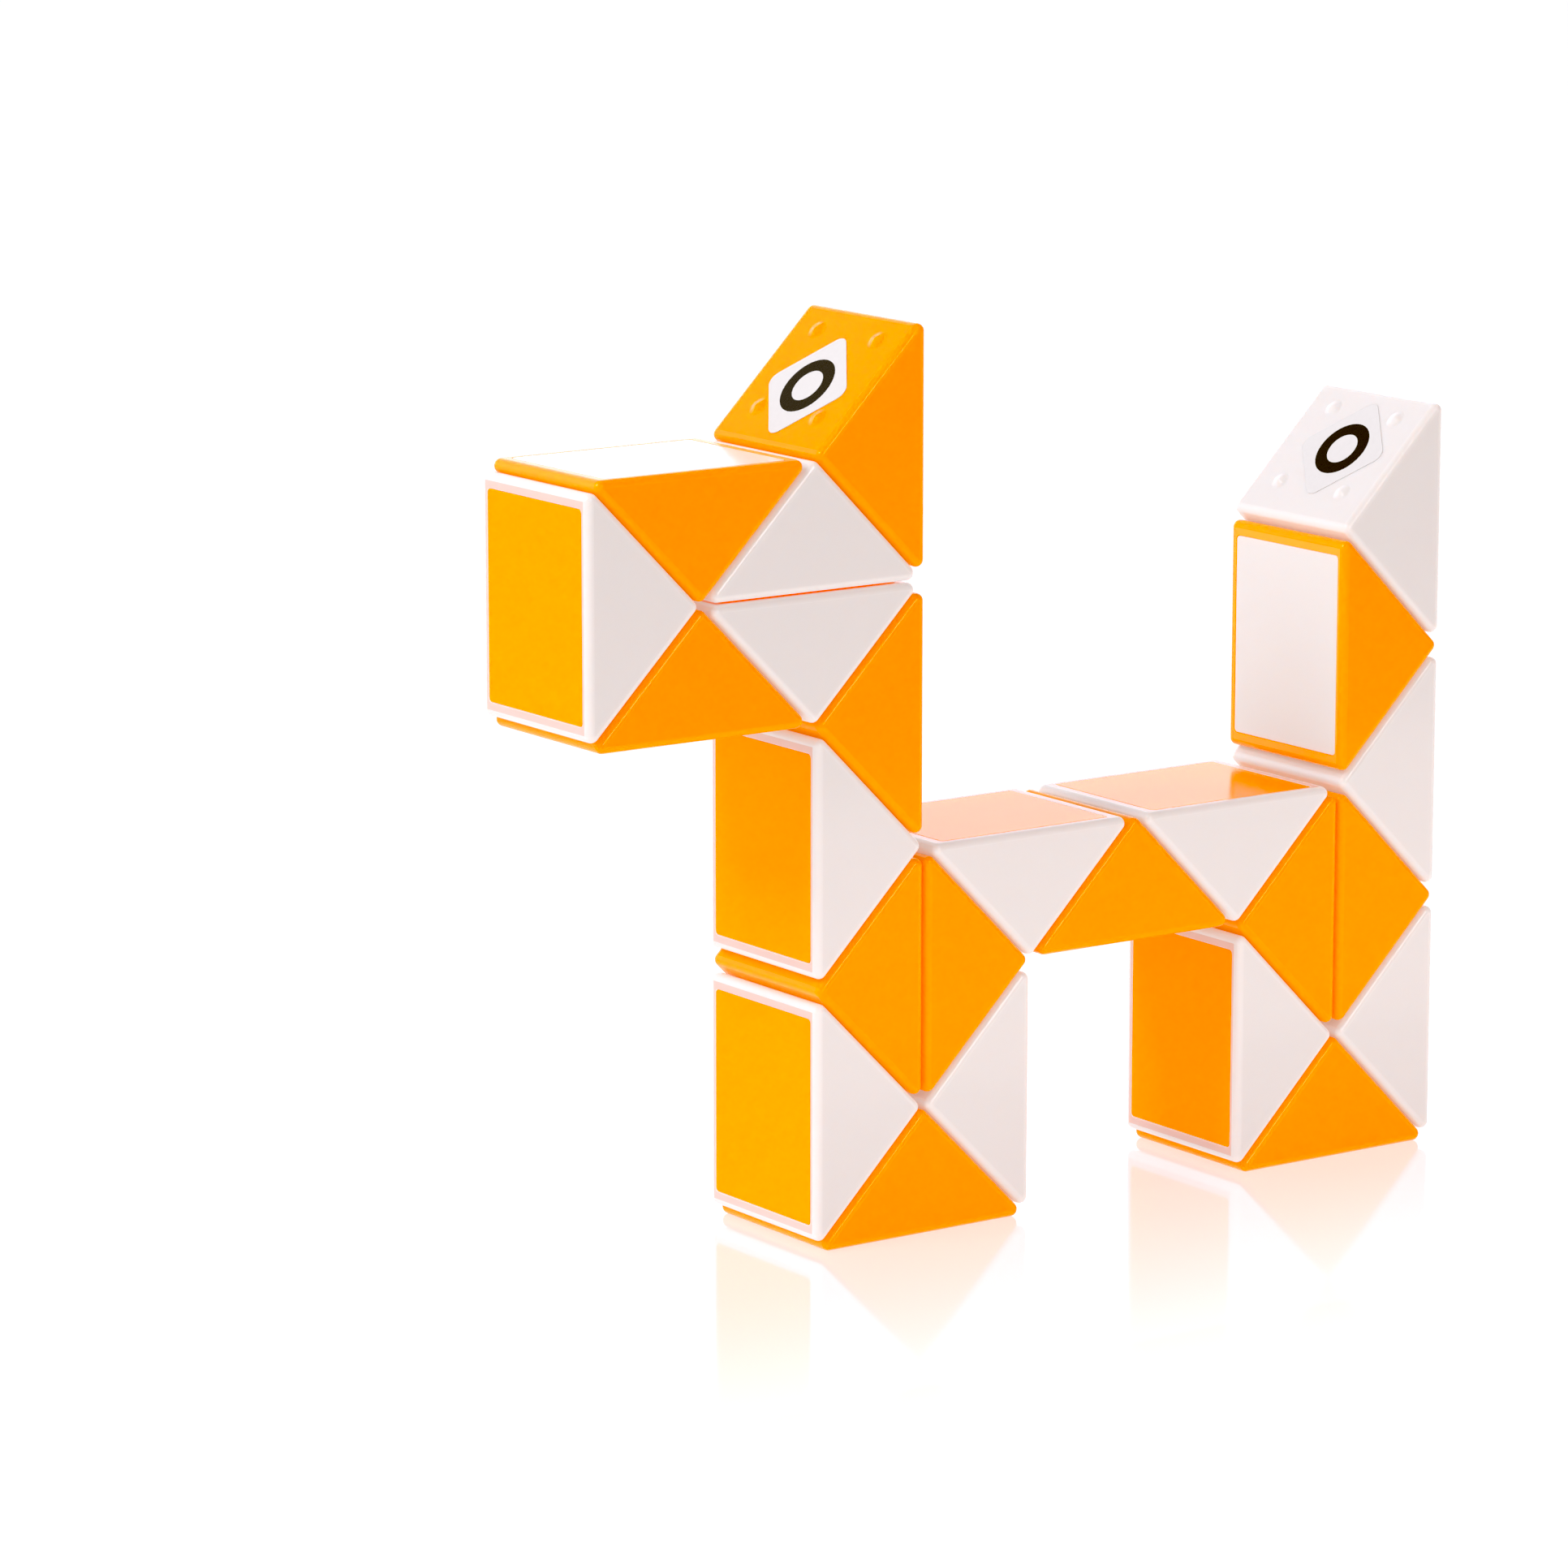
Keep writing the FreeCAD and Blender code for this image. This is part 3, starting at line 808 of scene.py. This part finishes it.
def build_floor():
    """Wide white acrylic floor, lit from below, which mirrors the feet faintly."""
    half, level = FLOOR_HALF, cad_low.z
    mesh = bpy.data.meshes.new("floor")
    mesh.from_pydata([(-half, -half, level), (half, -half, level), (half, half, level),
                      (-half, half, level)], [], [(0, 1, 2, 3)])
    floor = bpy.data.objects.new("floor", mesh)
    bpy.context.scene.collection.objects.link(floor)
    material, nodes = new_material("white_acrylic")
    place = nodes.add("ShaderNodeTexCoord").outputs["Object"]
    size = cad_high - cad_low
    inside = nodes.vector("ABSOLUTE", place)
    beyond = nodes.vector("SUBTRACT", inside.outputs[0], (size.x / 2, size.y / 2, 1.0))
    clear = nodes.vector("MAXIMUM", beyond.outputs[0], (0.0, 0.0, 0.0))
    away = nodes.vector("LENGTH", clear.outputs[0])
    near = nodes.add("ShaderNodeMapRange", {"interpolation_type": "SMOOTHSTEP"},
                     Value=away.outputs["Value"], From_Min=0.0, From_Max=SHINE_REACH,
                     To_Min=1.0, To_Max=0.0)
    slant = nodes.add("ShaderNodeFresnel", IOR=FLOOR_IOR)
    shine = nodes.product(slant.outputs["Fac"], near.outputs["Result"])
    lit = nodes.add("ShaderNodeBsdfPrincipled", Base_Color=opaque(FLOOR_COLOUR),
                    Roughness=FLOOR_ROUGHNESS, Specular_IOR_Level=0.0,
                    Emission_Color=opaque((1.0, 1.0, 1.0)), Emission_Strength=FLOOR_GLOW)
    mirror = nodes.add("ShaderNodeBsdfGlossy", Color=opaque(FLOOR_TINT), Roughness=MIRROR_ROUGHNESS)
    both = nodes.either(shine, lit.outputs["BSDF"], mirror.outputs["BSDF"])
    nodes.add("ShaderNodeOutputMaterial", Surface=both)
    mesh.materials.append(material)


def softbox(name, target, direction, distance, size, radiance, colour=(1, 1, 1)):
    """Area light of the given width and height and brightness, aimed at target, hidden from view."""
    light = bpy.data.lights.new(name, "AREA")
    light.shape = "RECTANGLE"
    light.size, light.size_y = size
    light.energy = radiance * math.pi * light.size * light.size_y
    light.color = colour
    lamp = bpy.data.objects.new(name, light)
    away = Vector(direction).normalized()
    lamp.location = target + away * distance
    lamp.rotation_euler = away.to_track_quat("Z", "Y").to_euler()
    lamp.visible_camera = False
    bpy.context.scene.collection.objects.link(lamp)


def build_light(target):
    """Sky that is dimmer in front, above and to the right, white to the camera, and the lamps."""
    world = bpy.data.worlds.new("studio")
    bpy.context.scene.world = world
    world.use_nodes = True
    nodes = Nodes(world.node_tree)
    way = nodes.add("ShaderNodeTexCoord").outputs["Generated"]
    parts = nodes.add("ShaderNodeSeparateXYZ", Vector=way)
    tone = nodes.tone(nodes.span(parts.outputs["Y"], FRONT_SPAN), opaque(SKY), opaque(SKY_FRONT))
    glow = nodes.tone(nodes.span(parts.outputs["Y"], BACK_SPAN), tone, opaque(SKY_BACK))
    top = nodes.span(parts.outputs["Z"], TOP_SPAN, 1.0, SKY_TOP)
    right = nodes.span(parts.outputs["X"], RIGHT_SPAN, 1.0, SKY_RIGHT)
    sky = nodes.add("ShaderNodeBackground", Color=glow, Strength=nodes.product(top, right))
    backdrop = nodes.add("ShaderNodeBackground", Color=opaque((1.0, 1.0, 1.0)), Strength=1.0)
    seen = nodes.add("ShaderNodeLightPath").outputs["Is Camera Ray"]
    both = nodes.either(seen, sky.outputs["Background"], backdrop.outputs["Background"])
    nodes.add("ShaderNodeOutputWorld", Surface=both)
    for name, direction, distance, size, radiance in SOFTBOXES:
        softbox(name, target, direction, distance, size, radiance)
    feet = Vector((target.x, cad_low.y, cad_low.z + STRIP_HEIGHT))
    softbox("floor_strip", feet, (0.0, -1.0, 0.0), STRIP_DISTANCE, STRIP_SIZE, STRIP_BRIGHTNESS,
            STRIP_COLOUR)


def build_camera(target):
    """Camera at the photograph's viewing angle."""
    azimuth, elevation = math.radians(VIEW_AZIMUTH), math.radians(VIEW_ELEVATION)
    forward = Vector((math.sin(azimuth) * math.cos(elevation),
                      math.cos(azimuth) * math.cos(elevation), -math.sin(elevation)))
    lens = bpy.data.cameras.new("camera")
    lens.lens = VIEW_LENS
    lens.sensor_width = SENSOR
    camera = bpy.data.objects.new("camera", lens)
    camera.location = target + VIEW_OFFSET - forward * VIEW_DISTANCE
    camera.rotation_euler = forward.to_track_quat("-Z", "Y").to_euler()
    bpy.context.scene.collection.objects.link(camera)
    bpy.context.scene.camera = camera


def follow_light():
    """Lets light bounce on in the narrow gaps; the red and orange glow of their pale plastic walls
    comes mostly from the plastics' painted glow.
    """
    cycles = bpy.context.scene.cycles
    cycles.max_bounces = LIGHT_BOUNCES
    cycles.diffuse_bounces = LIGHT_BOUNCES


def grade_picture():
    """Plain display transform, with a slightly lifted black point."""
    view = bpy.context.scene.view_settings
    view.view_transform = "Standard"
    view.use_curve_mapping = True
    view.curve_mapping.black_level = BLACK_POINT
    view.curve_mapping.update()


centre = (cad_low + cad_high) / 2
build_puzzle()
build_floor()
build_light(centre)
build_camera(centre)
follow_light()
grade_picture()
